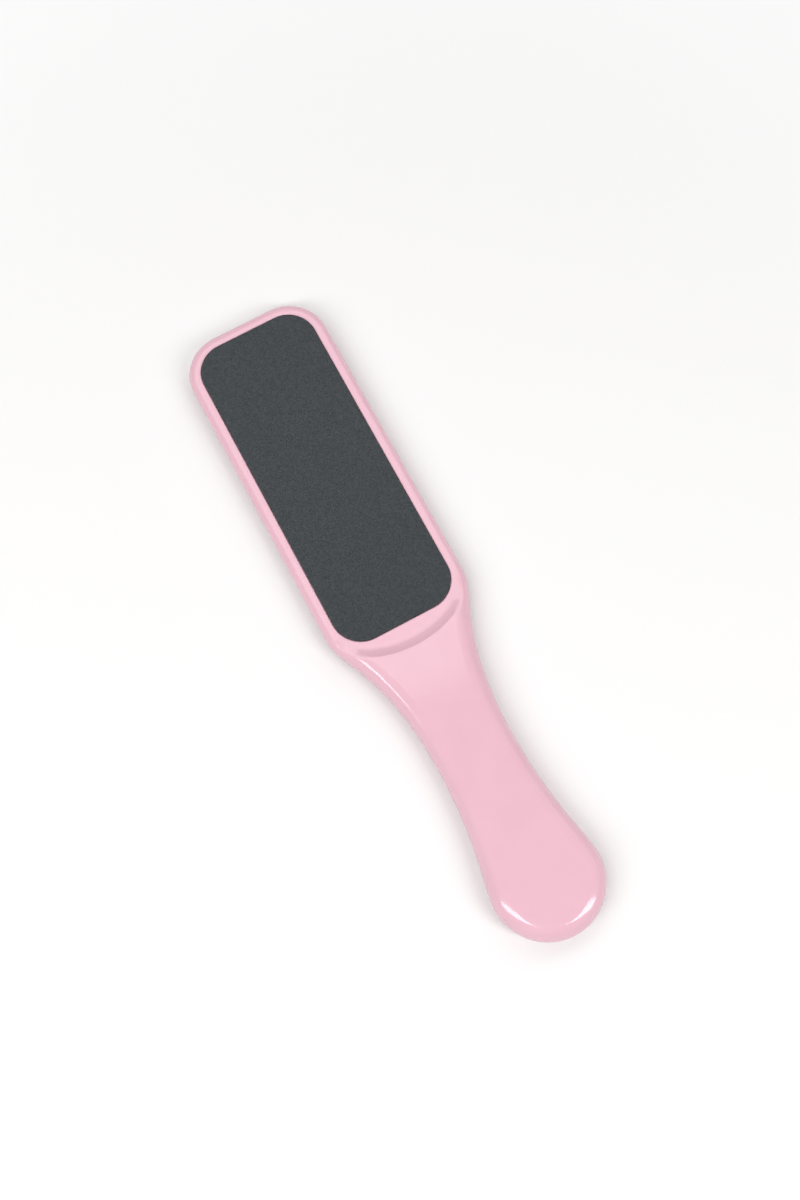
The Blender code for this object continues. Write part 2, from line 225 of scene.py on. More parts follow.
def grit_finish(name, grain, dark, light):
    """Finish with grains of this size, in colours between dark and light."""
    finish, tree, shader = new_finish(name)
    place = add_node(tree, "ShaderNodeTexCoord")
    cells = add_node(tree, "ShaderNodeTexVoronoi", {"Vector": place.outputs["Object"], "Scale": 1 / grain})
    crumbs = add_node(
        tree,
        "ShaderNodeTexNoise",
        {"Vector": place.outputs["Object"], "Scale": 2 / grain, "Detail": 3.0, "Roughness": 0.65},
    )
    lightness = add_node(tree, "ShaderNodeSeparateColor", {"Color": cells.outputs["Color"]})
    colour = add_node(
        tree,
        "ShaderNodeMix",
        {"Factor": lightness.outputs["Red"], "A": linear(dark), "B": linear(light)},
        data_type="RGBA",
    )
    gloss = add_node(
        tree, "ShaderNodeMapRange", {"Value": lightness.outputs["Green"], "To Min": 0.35, "To Max": 0.55}
    )
    grain_bump = add_node(
        tree,
        "ShaderNodeBump",
        {"Height": cells.outputs["Distance"], "Strength": 0.15, "Distance": GRAIN_HEIGHT_SHARE * grain},
        invert=True,
    )
    crumb_bump = add_node(
        tree,
        "ShaderNodeBump",
        {
            "Height": crumbs.outputs["Fac"],
            "Strength": 0.15,
            "Distance": CRUMB_HEIGHT_SHARE * grain,
            "Normal": grain_bump.outputs["Normal"],
        },
    )
    shader.inputs["Specular IOR Level"].default_value = 0.25
    tree.links.new(colour.outputs["Result"], shader.inputs["Base Color"])
    tree.links.new(gloss.outputs["Result"], shader.inputs["Roughness"])
    tree.links.new(crumb_bump.outputs["Normal"], shader.inputs["Normal"])
    return finish


COARSE_GRAIN = 0.00055
FINE_GRAIN = 0.00034
coarse_grit = grit_finish("coarse_grit_in_resin", COARSE_GRAIN, "#32373a", "#3e4346")
fine_grit = grit_finish("fine_grit_in_resin", FINE_GRAIN, "#2f3437", "#3a3f42")
print("Made", coarse_grit.name, "and", fine_grit.name)

# %% [markdown]
# ## Finish: double-sided adhesive film
#
# The film under each sheet is a thin fibre tissue soaked in acrylic glue. It shows only in the
# hairline gap round a sheet. A noise that is stretched along the tool gives its fibres.

# %% Make the adhesive film
FIBRE_SPACING = 0.0004
FIBRE_STRETCH = (1.0, 0.15, 1.0)
FIBRE_DEPTH = 0.00002
film_finish, tree, shader = new_finish("acrylic_tissue_film")
place = add_node(tree, "ShaderNodeTexCoord")
along = add_node(tree, "ShaderNodeMapping", {"Vector": place.outputs["Object"], "Scale": FIBRE_STRETCH})
fibres = add_node(
    tree, "ShaderNodeTexNoise", {"Vector": along.outputs["Vector"], "Scale": 1 / FIBRE_SPACING, "Detail": 4.0}
)
tissue = add_node(
    tree,
    "ShaderNodeMix",
    {"Factor": fibres.outputs["Fac"], "A": linear("#ddd9cd"), "B": linear("#efece4")},
    data_type="RGBA",
)
fibre_bump = add_node(
    tree, "ShaderNodeBump", {"Height": fibres.outputs["Fac"], "Strength": 0.3, "Distance": FIBRE_DEPTH}
)
tree.links.new(tissue.outputs["Result"], shader.inputs["Base Color"])
tree.links.new(fibre_bump.outputs["Normal"], shader.inputs["Normal"])
shader.inputs["Roughness"].default_value = 0.45
for name in ("coarse_adhesive_film", "fine_adhesive_film"):
    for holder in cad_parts[name].material_slots:
        holder.material = film_finish
print("The two films carry", film_finish.name)

# %% [markdown]
# ## The outline in plan
#
# Seen from above, the side of the paddle is a chain of curves: the round corner of the head, a
# straight side, an arc over the shoulder, and two Bezier curves that narrow to the waist and swell to
# the round end. A curve object could hold them, but the next step needs both a point and the
# direction that faces outwards there, so the chain is sampled in code.

# %% Sample the outline
def lerp(start, end, share):
    return start + (end - start) * share


def smooth_share(share):
    share = min(max(share, 0.0), 1.0)
    return share * share * (3 - 2 * share)


def arc_samples(centre, radius, start, end, steps):
    """(point, outward direction) along an arc, with angles clockwise from +Y."""
    turns = [lerp(start, end, i / steps) for i in range(steps + 1)]
    outward = [Vector((math.sin(turn), math.cos(turn))) for turn in turns]
    return [(centre + radius * direction, direction) for direction in outward]


def bezier_samples(start, start_normal, end, shares, steps):
    """(point, outward direction) along a curve that leaves square to start_normal and ends along -Y.

    The shares of the way down are the lengths of the curve's two handles.
    """
    span = start.y - end.y
    first = start + Vector((start_normal.y, -start_normal.x)) * span * shares[0]
    second = end + Vector((0, span * shares[1]))
    samples = []
    for i in range(1, steps + 1):
        t = i / steps
        s = 1 - t
        point = s**3 * start + 3 * s * s * t * first + 3 * s * t * t * second + t**3 * end
        run = s * s * (first - start) + 2 * s * t * (second - first) + t * t * (end - second)
        samples.append((point, Vector((-run.y, run.x)).normalized()))
    return samples


OUTLINE_STEPS = 96
FLARE_HANDLE_SHARES = (0.156, 0.62)
SWELL_HANDLE_SHARES = (0.572, 0.142)
quarter = math.pi / 2
waist_point = Vector((WAIST_WIDTH / 2, WAIST_Y))
bulb_point = Vector((BULB_WIDTH / 2, BULB_Y))
shoulder_centre = Vector((HEAD_WIDTH / 2 - SHOULDER_RADIUS, SHOULDER_Y))
side_chain = [(Vector((HEAD_WIDTH / 2, TIP_Y - HEAD_CORNER_RADIUS)), Vector((1, 0)))]
side_chain += arc_samples(shoulder_centre, SHOULDER_RADIUS, quarter, quarter + SHOULDER_ANGLE, OUTLINE_STEPS)
side_chain += bezier_samples(*side_chain[-1], waist_point, FLARE_HANDLE_SHARES, OUTLINE_STEPS)
side_chain += bezier_samples(waist_point, Vector((1, 0)), bulb_point, SWELL_HANDLE_SHARES, OUTLINE_STEPS)
print("Points down one side:", len(side_chain))

# %% [markdown]
# ## Where the grid's rows lie
#
# The moulded face will be a grid of small faces. A grid of straight rows would cross the arched step
# and show it as a staircase of creases. So the rows bend: on the head they are straight, at the step
# they follow the arch exactly, and past the waist they bow more and more, up to the round end. The
# rounded edge also needs a radius that grows from the thin head to the thick handle.

# %% Helpers: place of a row
HALVINGS = 40


def side_at(y):
    """(point, outward direction) on the right side at this place along the paddle."""
    for (upper, upper_normal), (lower, lower_normal) in zip(side_chain, side_chain[1:]):
        if y >= lower.y:
            share = (upper.y - y) / (upper.y - lower.y)
            return upper.lerp(lower, share), upper_normal.lerp(lower_normal, share).normalized()
    return side_chain[-1]


def edge_radius(y):
    """Radius of the rounded edge: small on the thin head, larger on the handle."""
    on_handle = smooth_share((CHEEK_Y - y) / CHEEK_LENGTH)
    return lerp(LAND - SEAM_LAND, HANDLE_EDGE_RADIUS, on_handle)


def crest_depth(x):
    """How far the step's crest lies behind CREST_Y at this distance from the middle line."""
    across = min(abs(x) / (CREST_WIDTH / 2), 1.0)
    return CREST_DEPTH * math.sqrt(1 - across * across)


def find_crest_end():
    """Place along the side where the crest meets the rounded edge, found by halving."""
    upper, lower = SHOULDER_Y, WAIST_Y
    for _ in range(HALVINGS):
        middle = (upper + lower) / 2
        point, normal = side_at(middle)
        inner = point - normal * edge_radius(middle)
        if inner.y > CREST_Y - crest_depth(inner.x):
            upper = middle
        else:
            lower = middle
    return upper


crest_end = find_crest_end()
slope_start = crest_end + STEP_RUN


def bent_row(y, end_x, turn):
    """(x, distance behind the row's ends) at a turn from -90 to 90 degrees along a row that ends at end_x."""
    x = end_x * math.sin(turn)
    before = smooth_share((CHEEK_Y - y) / (CHEEK_Y - slope_start))
    past = smooth_share((crest_end - y) / (crest_end - WAIST_Y))
    into_bulb = max(WAIST_Y - y, 0) / SWELL_LENGTH
    bulb_bend = (BULB_WIDTH / 2 - HANDLE_EDGE_RADIUS) * into_bulb**2
    return x, before * (1 - past) * (crest_depth(x) - crest_depth(end_x)) + bulb_bend * math.cos(turn)


print(f"The crest meets the edge at Y = {1000 * crest_end:.1f} mm")

# %% [markdown]
# ## A flat plan that knows what each point is for
#
# The face could be bent into shape in code, but a rule that lifts points belongs in Geometry Nodes,
# where its sizes stay open to change. So this step only lays out a flat plan. One sheet of points
# goes over the outer face, round the edge, along the seam and back over the inner face, so that a
# half is one closed skin with a wall thickness. Each point carries a few numbers: which way is
# outwards, how far round the edge it is, the edge's radius, how deep in the wall it lies, from 0 on
# the outer face to 1 on the inner one, and, along the seam, its fixed height and how far it is
# tucked in. A second kind of plan makes a solid core of the same form, for the ribs further on.

# %% Lay out the grid's rows and border
# Rows lie along the tip's corner, head, cheek, step, flare and swell in turn.
ROWS = (10, 6, 26, 20, 36, 36)
COLUMNS = 48
WIDTH = COLUMNS + 1
EDGE_STEPS = 10


def plan_rows():
    """(outline point, outward direction) on the right side for each row of the grid, tip first."""
    corner = Vector((HEAD_WIDTH / 2 - HEAD_CORNER_RADIUS, TIP_Y - HEAD_CORNER_RADIUS))
    rows = arc_samples(corner, HEAD_CORNER_RADIUS, 0, quarter, ROWS[0])
    stops = (TIP_Y - HEAD_CORNER_RADIUS, CHEEK_Y, slope_start, crest_end, WAIST_Y, BULB_Y)
    for start, end, count in zip(stops, stops[1:], ROWS[1:]):
        rows += [side_at(lerp(start, end, i / count)) for i in range(1, count + 1)]
    return rows


def grid_spots(rows):
    """(place, outward direction, edge radius) at each point of the grid, row by row."""
    spots = []
    for i, (point, normal) in enumerate(rows):
        radius = edge_radius(point.y)
        inner = point - normal * radius
        for j in range(WIDTH):
            turn = lerp(-quarter, quarter, j / COLUMNS)
            x, behind = bent_row(point.y, inner.x, turn)
            outward = Vector((normal.x if j else -normal.x, normal.y))
            if i == len(rows) - 1:
                outward = Vector((math.sin(turn), -math.cos(turn)))
            spots.append(((x, inner.y - behind, 0), (*outward, 0), radius))
    return spots


def grid_border(last):
    """Numbers of the grid's border points in order, where last is the number of its last row."""
    border = list(range(COLUMNS)) + [i * WIDTH + COLUMNS for i in range(last)]
    border += [last * WIDTH + j for j in range(COLUMNS, 0, -1)]
    return border + [i * WIDTH for i in range(last, 0, -1)]


grid_rows = plan_rows()
last_row = len(grid_rows) - 1
spots = grid_spots(grid_rows)
whole, border = range(len(spots)), grid_border(last_row)
print("The grid has", len(spots), "points,", len(border), "of them on its border")


# %% Helpers: plans in layers
POINT_NUMBERS = ("edge_turn", "edge_radius", "inner_skin", "held", "held_height", "tuck")


def rounding(inner_skin, steps):
    """Layers round the edge. A layer is (its points, edge_turn, inner_skin, held, held_height, tuck)."""
    return [(border, quarter * step / EDGE_STEPS, inner_skin, 0, 0, 0) for step in steps]


def skin_layers(seam):
    """Layers of a wall, from the outer face to the inner one. seam lists (height, tuck) along the joint."""
    layers = [(whole, quarter, 0, 0, 0, 0)] + rounding(0, range(EDGE_STEPS - 1, -1, -1))
    layers += [(border, 0, 0, 1, height, tuck) for height, tuck in seam]
    return layers + rounding(1, range(1, EDGE_STEPS)) + [(whole, quarter, 1, 0, 0, 0)]


def core_layers(share, floor):
    """Layers of a solid that starts this share of the wall below the outer face and ends at the floor."""
    layers = [(whole, quarter, share, 0, 0, 0)] + rounding(share, range(EDGE_STEPS - 1, -1, -1))
    return layers + [(border, 0, share, 1, floor, 0), (whole, quarter, share, 1, floor, 0)]


def grid_faces(first):
    """Faces of a whole grid whose first point has this number."""
    corners = [first + i * WIDTH + j for i in range(last_row) for j in range(COLUMNS)]
    return [(a, a + WIDTH, a + WIDTH + 1, a + 1) for a in corners]


def flat_plan(name, layers):
    """Object with a flat plan of these layers, each point of which carries its numbers."""
    points, facts, faces, ring = [], [], [], []
    for members, edge_turn, inner_skin, *held in layers:
        first = len(points)
        points += [spots[member] for member in members]
        facts += [(edge_turn, spots[member][2], inner_skin, *held) for member in members]
        new_ring = list(range(first, len(points)))
        if members == whole:
            faces += grid_faces(first)
            new_ring = [first + member for member in border]
        faces += [(ring[k - 1], ring[k], new_ring[k], new_ring[k - 1]) for k in range(len(ring))]
        ring = new_ring
    mesh = bpy.data.meshes.new(name)
    mesh.from_pydata([point[0] for point in points], [], faces)
    outward = mesh.attributes.new("outward", "FLOAT_VECTOR", "POINT")
    outward.data.foreach_set("vector", [value for point in points for value in point[1]])
    for column, fact in enumerate(POINT_NUMBERS):
        numbers = mesh.attributes.new(fact, "FLOAT", "POINT")
        numbers.data.foreach_set("value", [float(row[column]) for row in facts])
    return add_object(name, mesh)


# %% [markdown]
# ## The rule of the moulded face, in Geometry Nodes
#
# The face height at a point is the head's height, plus a climb to the handle's height. The climb
# follows a quarter of a cosine over the run of the step, measured from the arched crest, and it fades
# out along the cheeks beside the arch. Written as a table, each line is one Math node: its name, what
# it does, and the values that it works on. A value can be a number, one of the tree's own inputs, a
# number that the points carry, or a line above it.

# %% Write the rule down
FACE_SIZES = {
    "Side": 1.0,
    "Land": LAND,
    "Handle Height": HANDLE_THICKNESS / 2,
    "Crest Half Width": CREST_WIDTH / 2,
    "Crest Depth": CREST_DEPTH,
    "Crest Place": CREST_Y,
    "Crest Drop": CREST_DROP,
    "Step Run": STEP_RUN,
    "Waist Place": WAIST_Y,
    "Cheek Place": CHEEK_Y,
    "Cheek End": CHEEK_Y - CHEEK_LENGTH,
    "Wall": WALL,
    "Lowest Inside": 0.0,
    "Seam Height": SEAM_HEIGHT,
}
EDGE_RULE = (
    ("inset", "MULTIPLY", "inner_skin", "Wall"),
    ("free_radius", "SUBTRACT", "edge_radius", "inset"),
    ("turn_cosine", "COSINE", "edge_turn"),
    ("turn_sine", "SINE", "edge_turn"),
    ("reach_out", "MULTIPLY", "free_radius", "turn_cosine"),
    ("final_reach", "SUBTRACT", "reach_out", "tuck"),
)
FACE_RULE = (
    ("across", "DIVIDE", "x", "Crest Half Width"),
    ("behind", "SUBTRACT", "Crest Place", "y"),
    ("behind_only", "MAXIMUM", "behind", 0.0),
    ("along", "DIVIDE", "behind_only", "Crest Depth"),
    ("along_square", "MULTIPLY", "along", "along"),
    ("reach_square", "MULTIPLY_ADD", "across", "across", "along_square"),
    ("reach", "SQRT", "reach_square"),
    ("across_rate", "DIVIDE", "across", "Crest Half Width"),
    ("along_rate", "DIVIDE", "along", "Crest Depth"),
    ("along_rate_square", "MULTIPLY", "along_rate", "along_rate"),
    ("rate_square", "MULTIPLY_ADD", "across_rate", "across_rate", "along_rate_square"),
    ("rate", "SQRT", "rate_square"),
    ("rate_share", "DIVIDE", "rate", "reach"),
    ("slope", "MAXIMUM", "rate_share", 1.0),
    ("short_of_crest", "SUBTRACT", 1.0, "reach"),
    ("gap", "DIVIDE", "short_of_crest", "slope"),
    ("gap_share", "DIVIDE", "gap", "Step Run"),
    ("past_share", "SUBTRACT", 1.0, "gap_share"),
    ("past_zero", "MAXIMUM", "past_share", 0.0),
    ("step_share", "MINIMUM", "past_zero", 1.0),
    ("step_turn", "MULTIPLY", "step_share", quarter),
    ("step_cosine", "COSINE", "step_turn"),
    ("climb", "SUBTRACT", 1.0, "step_cosine"),
    ("crest_bottom", "SUBTRACT", "Crest Place", "Crest Depth"),
    ("flare", "SUBTRACT", "crest_bottom", "Waist Place"),
    ("ahead", "SUBTRACT", "y", "Waist Place"),
    ("ahead_only", "MAXIMUM", "ahead", 0.0),
    ("ahead_share", "DIVIDE", "ahead_only", "flare"),
    ("ahead_square", "MULTIPLY", "ahead_share", "ahead_share"),
    ("drop", "MULTIPLY", "ahead_square", "Crest Drop"),
    ("handle_height", "SUBTRACT", "Handle Height", "drop"),
    ("full_rise", "SUBTRACT", "handle_height", "Land"),
    ("rise", "MULTIPLY", "full_rise", "on_handle"),
    ("face_height", "MULTIPLY_ADD", "rise", "climb", "Land"),
    ("inner_height", "SUBTRACT", "face_height", "inset"),
    ("round_off", "SUBTRACT", 1.0, "turn_sine"),
    ("round_drop", "MULTIPLY", "free_radius", "round_off"),
    ("rounded_height", "SUBTRACT", "inner_height", "round_drop"),
    ("inside_floor", "MULTIPLY", "Lowest Inside", "inner_skin"),
    ("open_height", "MAXIMUM", "rounded_height", "inside_floor"),
    ("to_held", "SUBTRACT", "held_height", "open_height"),
    ("half_height", "MULTIPLY_ADD", "to_held", "held", "open_height"),
    ("final_height", "MULTIPLY_ADD", "half_height", "Side", "Seam Height"),
)
print("The rule has", len(EDGE_RULE) + len(FACE_RULE), "lines")


# %% Helpers: start a tree, add a rule to it, and end it
def new_tree(name, sizes):
    """(Geometry Nodes tree with these float inputs, its input node, its output node)."""
    tree = bpy.data.node_groups.new(name, "GeometryNodeTree")
    tree.is_modifier = True
    tree.interface.new_socket("Geometry", in_out="OUTPUT", socket_type="NodeSocketGeometry")
    tree.interface.new_socket("Geometry", in_out="INPUT", socket_type="NodeSocketGeometry")
    for size, value in sizes.items():
        socket = tree.interface.new_socket(size, in_out="INPUT", socket_type="NodeSocketFloat")
        socket.default_value = value
    return tree, tree.nodes.new("NodeGroupInput"), tree.nodes.new("NodeGroupOutput")


def add_rule(tree, values, steps):
    """One Math node for each line of a rule. values maps names to sockets and grows with each line."""
    for name, operation, *operands in steps:
        sources = {i: values.get(operand, operand) for i, operand in enumerate(operands)}
        node = add_node(tree, "ShaderNodeMath", sources, operation=operation, label=name)
        values[name] = node.outputs["Value"]


def end_tree(tree, result, geometry, finish):
    """Make instances real, because the export drops them, and give everything its finish."""
    real = add_node(tree, "GeometryNodeRealizeInstances", {"Geometry": geometry})
    coat = {"Geometry": real.outputs["Geometry"], "Material": finish}
    coated = add_node(tree, "GeometryNodeSetMaterial", coat)
    tree.links.new(coated.outputs["Geometry"], result.inputs["Geometry"])


# %% Build the tree that lifts the plan
face_tree, given, result = new_tree("lift_moulded_face", FACE_SIZES)
values = {size: given.outputs[size] for size in FACE_SIZES}
for fact in POINT_NUMBERS:
    carried = add_node(face_tree, "GeometryNodeInputNamedAttribute", {"Name": fact}, data_type="FLOAT")
    values[fact] = carried.outputs["Attribute"]
add_rule(face_tree, values, EDGE_RULE)
outward = add_node(
    face_tree, "GeometryNodeInputNamedAttribute", {"Name": "outward"}, data_type="FLOAT_VECTOR"
)
start = add_node(face_tree, "GeometryNodeInputPosition")
moved = []
for distance in ("reach_out", "final_reach"):
    push = {0: outward.outputs["Attribute"], "Scale": values[distance]}
    shift = add_node(face_tree, "ShaderNodeVectorMath", push, operation="SCALE")
    sum_of_both = {0: start.outputs[0], 1: shift.outputs[0]}
    moved.append(add_node(face_tree, "ShaderNodeVectorMath", sum_of_both, operation="ADD"))
spot, final_spot = [add_node(face_tree, "ShaderNodeSeparateXYZ", {0: node.outputs[0]}) for node in moved]
values |= {"x": spot.outputs["X"], "y": spot.outputs["Y"]}
on_handle = add_node(
    face_tree,
    "ShaderNodeMapRange",
    {"Value": values["y"], "From Min": values["Cheek Place"], "From Max": values["Cheek End"]},
    interpolation_type="SMOOTHSTEP",
)
values["on_handle"] = on_handle.outputs["Result"]
add_rule(face_tree, values, FACE_RULE)
lifted = add_node(
    face_tree,
    "ShaderNodeCombineXYZ",
    {"X": final_spot.outputs["X"], "Y": final_spot.outputs["Y"], "Z": values["final_height"]},
)
placed = add_node(
    face_tree,
    "GeometryNodeSetPosition",
    {"Geometry": given.outputs["Geometry"], "Position": lifted.outputs["Vector"]},
)
end_tree(face_tree, result, placed.outputs["Geometry"], pink_abs)
print("The tree has", len(face_tree.nodes), "nodes")

# %% [markdown]
# ## Lift both halves
#
# The front half has a thin lip that goes into a rebate in the back half, which is how such shells are
# lined up before they are welded. The joint's profile is a short list of (height, tuck) pairs, with
# heights measured from the seam. The two halves all but touch there, and a small chamfer on each
# leaves the fine line that runs round the side of the real tool.

# %% Helpers: run a tree, and turn the result into a plain mesh
def give_tree(obj, tree, sizes):
    """Put the tree on the object, with its inputs set by their identifiers."""
    modifier = obj.modifiers.new(tree.name, "NODES")
    modifier.node_group = tree
    for socket in tree.interface.items_tree:
        if socket.item_type == "SOCKET" and socket.in_out == "INPUT" and socket.name in sizes:
            modifier[socket.identifier] = sizes[socket.name]


def make_plain(obj):
    """Replace the object's mesh by what its modifiers make of it, and take the modifiers off."""
    bpy.context.view_layer.update()
    made = bpy.data.meshes.new_from_object(obj.evaluated_get(bpy.context.evaluated_depsgraph_get()))
    made.name = obj.name
    obj.modifiers.clear()
    obj.data = made
    return made


def lift(plan, side, lowest_inside):
    """Run the rule on a plan, drop the numbers that its points carried, and turn its faces outwards."""
    give_tree(plan, face_tree, {"Side": side, "Lowest Inside": lowest_inside})
    mesh = make_plain(plan)
    for fact in (*POINT_NUMBERS, "outward"):
        mesh.attributes.remove(mesh.attributes[fact])
    skin = bmesh.new()
    skin.from_mesh(mesh)
    bmesh.ops.recalc_face_normals(skin, faces=skin.faces)
    skin.to_mesh(mesh)
    skin.free()
    return plan


# %% Lift the front and the back half
SEAM_GAP = 0.00003
SEAM_CHAMFER = 0.00014
LIP_SETBACK = 0.0011
LIP_THICKNESS = 0.0008
LIP_REACH = 0.0012
LIP_FIT = 0.0001
REBATE_DEPTH = LIP_REACH + 2 * LIP_FIT
groove = [(SEAM_GAP + SEAM_CHAMFER, 0), (SEAM_GAP, SEAM_CHAMFER)]
lip_start, lip_end = LIP_SETBACK, LIP_SETBACK + LIP_THICKNESS
lip = [(SEAM_GAP, lip_start), (-LIP_REACH, lip_start)]
lip += [(-LIP_REACH, lip_end), (SEAM_GAP, lip_end), (SEAM_GAP, WALL)]
rebate = [(SEAM_GAP, lip_start - LIP_FIT), (REBATE_DEPTH, lip_start - LIP_FIT), (REBATE_DEPTH, WALL)]
halves = {}
for name, side, joint, lowest_inside in (
    ("front_moulding", 1.0, lip, 0.0),
    ("back_moulding", -1.0, rebate, REBATE_DEPTH),
):
    halves[name] = lift(flat_plan(name, skin_layers(groove + joint)), side, lowest_inside)
    print(name, "has", len(halves[name].data.polygons), "faces")

# %% [markdown]
# ## Rows of ribs, posts and pins
#
# A hollow paddle would feel springy and its halves would slide on each other. So the moulder adds
# thin ribs across it, a spine down its middle, and posts with pins in the front half and sockets for
# them in the back half. One tree sets a shape on each point of a line, and it is built twice: with a
# box for ribs, and with a rod for posts, pins and sockets. The spine is a row of a single long rib.

# %% Helpers: rows of one shape
ROD_SIDES = 32
RIGHT_THROUGH = 2 * HANDLE_THICKNESS
ROW_SIZES = {"First Place": 0.0, "Step": 0.0, "Count": 1.0, "Height": RIGHT_THROUGH, "Middle": SEAM_HEIGHT}


def row_tree(name, sizes, add_shape):
    """Tree that sets a shape on each point of a line down the middle of the paddle."""
    tree, given, result = new_tree(name, {**ROW_SIZES, **sizes})
    place = {"Y": given.outputs["First Place"], "Z": given.outputs["Middle"]}
    first = add_node(tree, "ShaderNodeCombineXYZ", place)
    step = add_node(tree, "ShaderNodeCombineXYZ", {"Y": given.outputs["Step"]})
    run = {"Count": given.outputs["Count"], "Start Location": first.outputs[0], "Offset": step.outputs[0]}
    line = add_node(tree, "GeometryNodeMeshLine", run)
    shape = add_shape(tree, given)
    pair = {"Points": line.outputs["Mesh"], "Instance": shape.outputs["Mesh"]}
    row = add_node(tree, "GeometryNodeInstanceOnPoints", pair)
    end_tree(tree, result, row.outputs["Instances"], pink_abs)
    return tree


def add_rib(tree, given):
    sides = {"X": given.outputs["Width"], "Y": given.outputs["Thickness"], "Z": given.outputs["Height"]}
    size = add_node(tree, "ShaderNodeCombineXYZ", sides)
    return add_node(tree, "GeometryNodeMeshCube", {"Size": size.outputs[0]})


def add_rod(tree, given):
    form = {"Vertices": ROD_SIDES, "Radius": given.outputs["Radius"], "Depth": given.outputs["Height"]}
    return add_node(tree, "GeometryNodeMeshCylinder", form)


def lay_row(name, tree, sizes):
    """Object with the row that the tree makes with these sizes."""
    row = add_object(name, bpy.data.meshes.new(name))
    give_tree(row, tree, sizes)
    make_plain(row)
    return row


def combine(target, tool, operation):
    """Boolean of the target with a tool, which is then removed. Both have to be closed."""
    step = target.modifiers.new(operation.lower(), "BOOLEAN")
    step.object, step.operation, step.solver = tool, operation, "MANIFOLD"
    make_plain(target)
    bpy.data.objects.remove(tool)


# %% [markdown]
# ## Set the ribs and posts in the halves
#
# The rows run right through the paddle. A Boolean with the core keeps only what lies inside a half,
# and the core reaches a hair into the wall, so that the next Boolean can join the two as one piece.
# The Manifold solver is quick, and it keeps a shape closed where both shapes are. The ribs stop a
# little short of the seam, and they stay clear of the lip.

# %% Set the rows' sizes
RIB_THICKNESS = 0.0012
RIB_PITCH = 0.024
RIB_GAP = 0.00005
POST_RADIUS = 0.0032
PIN_RADIUS = 0.0015
PIN_ROOT = 0.0006
CORE_SHARE = 0.96
bays = round((LENGTH - 2 * WALL) / RIB_PITCH)
bay = (LENGTH - 2 * WALL) / bays
every_rib = {"First Place": TIP_Y - WALL - bay, "Step": -bay, "Count": float(bays - 1)}
every_second = {**every_rib, "Step": -2 * bay, "Count": float(bays // 2)}
rib_row = row_tree("row_of_ribs", {"Width": HEAD_WIDTH, "Thickness": RIB_THICKNESS}, add_rib)
rod_row = row_tree("row_of_rods", {"Radius": POST_RADIUS}, add_rod)


def pin_sizes(radius, depth):
    """Sizes of a row of rods that go this deep past the seam into the back half."""
    middle = SEAM_HEIGHT + (PIN_ROOT - depth) / 2
    return {**every_second, "Radius": radius, "Height": PIN_ROOT + depth, "Middle": middle}


print(f"{bays - 1} ribs, {1000 * bay:.1f} mm apart")

# %% Stiffen both halves
CM3_PER_M3 = 1e6
for name, side in (("front_moulding", 1.0), ("back_moulding", -1.0)):
    ribs = lay_row(name + "_ribs", rib_row, every_rib)
    combine(ribs, lay_row("spine", rib_row, {"Width": RIB_THICKNESS, "Thickness": LENGTH}), "UNION")
    combine(ribs, lay_row("posts", rod_row, every_second), "UNION")
    combine(ribs, lift(flat_plan("core", core_layers(CORE_SHARE, RIB_GAP)), side, 0.0), "INTERSECT")
    combine(halves[name], ribs, "UNION")
combine(halves["front_moulding"], lay_row("pins", rod_row, pin_sizes(PIN_RADIUS, LIP_REACH)), "UNION")
sockets = lay_row("sockets", rod_row, pin_sizes(PIN_RADIUS + LIP_FIT, REBATE_DEPTH))
combine(halves["back_moulding"], sockets, "DIFFERENCE")
for name, half in halves.items():
    skin = bmesh.new()
    skin.from_mesh(half.data)
    open_edges = sum(1 for edge in skin.edges if len(edge.link_faces) != 2)
    volume = CM3_PER_M3 * skin.calc_volume()
    skin.free()
    print(f"{name} with its ribs has {open_edges} open edges and {volume:.2f} cm3 of plastic")

# %% [markdown]
# ## Plates with the sheet's outline
#
# The recess and the sheet in it have one outline: a rectangle with round corners. A helper stacks
# rings of that outline at different heights and insets and closes both ends, so one list of numbers
# gives a cutter with a rounded mouth or a sheet with a softened edge.

# %% Helper: stack of rounded rectangles
SHEET_WIDTH = 0.0424
SHEET_LENGTH = 0.1164
SHEET_CORNER_RADIUS = 0.0103
TIP_RIM = 0.0047
SHEET_Y = TIP_Y - TIP_RIM - SHEET_LENGTH / 2
CORNER_STEPS = 14


def sheet_ring(radius):
    """Points of the sheet's outline with corners of this radius round the same four centres."""
    ring = []
    for number, (right, up) in enumerate(((1, 1), (1, -1), (-1, -1), (-1, 1))):
        x = right * (SHEET_WIDTH / 2 - SHEET_CORNER_RADIUS)
        y = SHEET_Y + up * (SHEET_LENGTH / 2 - SHEET_CORNER_RADIUS)
        corner = arc_samples(Vector((x, y)), radius, number * quarter, (number + 1) * quarter, CORNER_STEPS)
        ring += [point for point, _ in corner]
    return ring


def sheet_stack(name, rings):
    """Closed object from (growth beyond the sheet's outline, height above the seam) rings, bottom first."""
    mesh = bmesh.new()
    layers = []
    for growth, height in rings:
        outline = sheet_ring(SHEET_CORNER_RADIUS + growth)
        layers.append([mesh.verts.new((*point, SEAM_HEIGHT + height)) for point in outline])
    for lower, upper in zip(layers, layers[1:]):
        for k in range(len(lower)):
            mesh.faces.new((lower[k - 1], lower[k], upper[k], upper[k - 1]))
    mesh.faces.new(layers[0])
    mesh.faces.new(layers[-1])
    bmesh.ops.recalc_face_normals(mesh, faces=mesh.faces)
    data = bpy.data.meshes.new(name)
    mesh.to_mesh(data)
    mesh.free()
    return add_object(name, data)


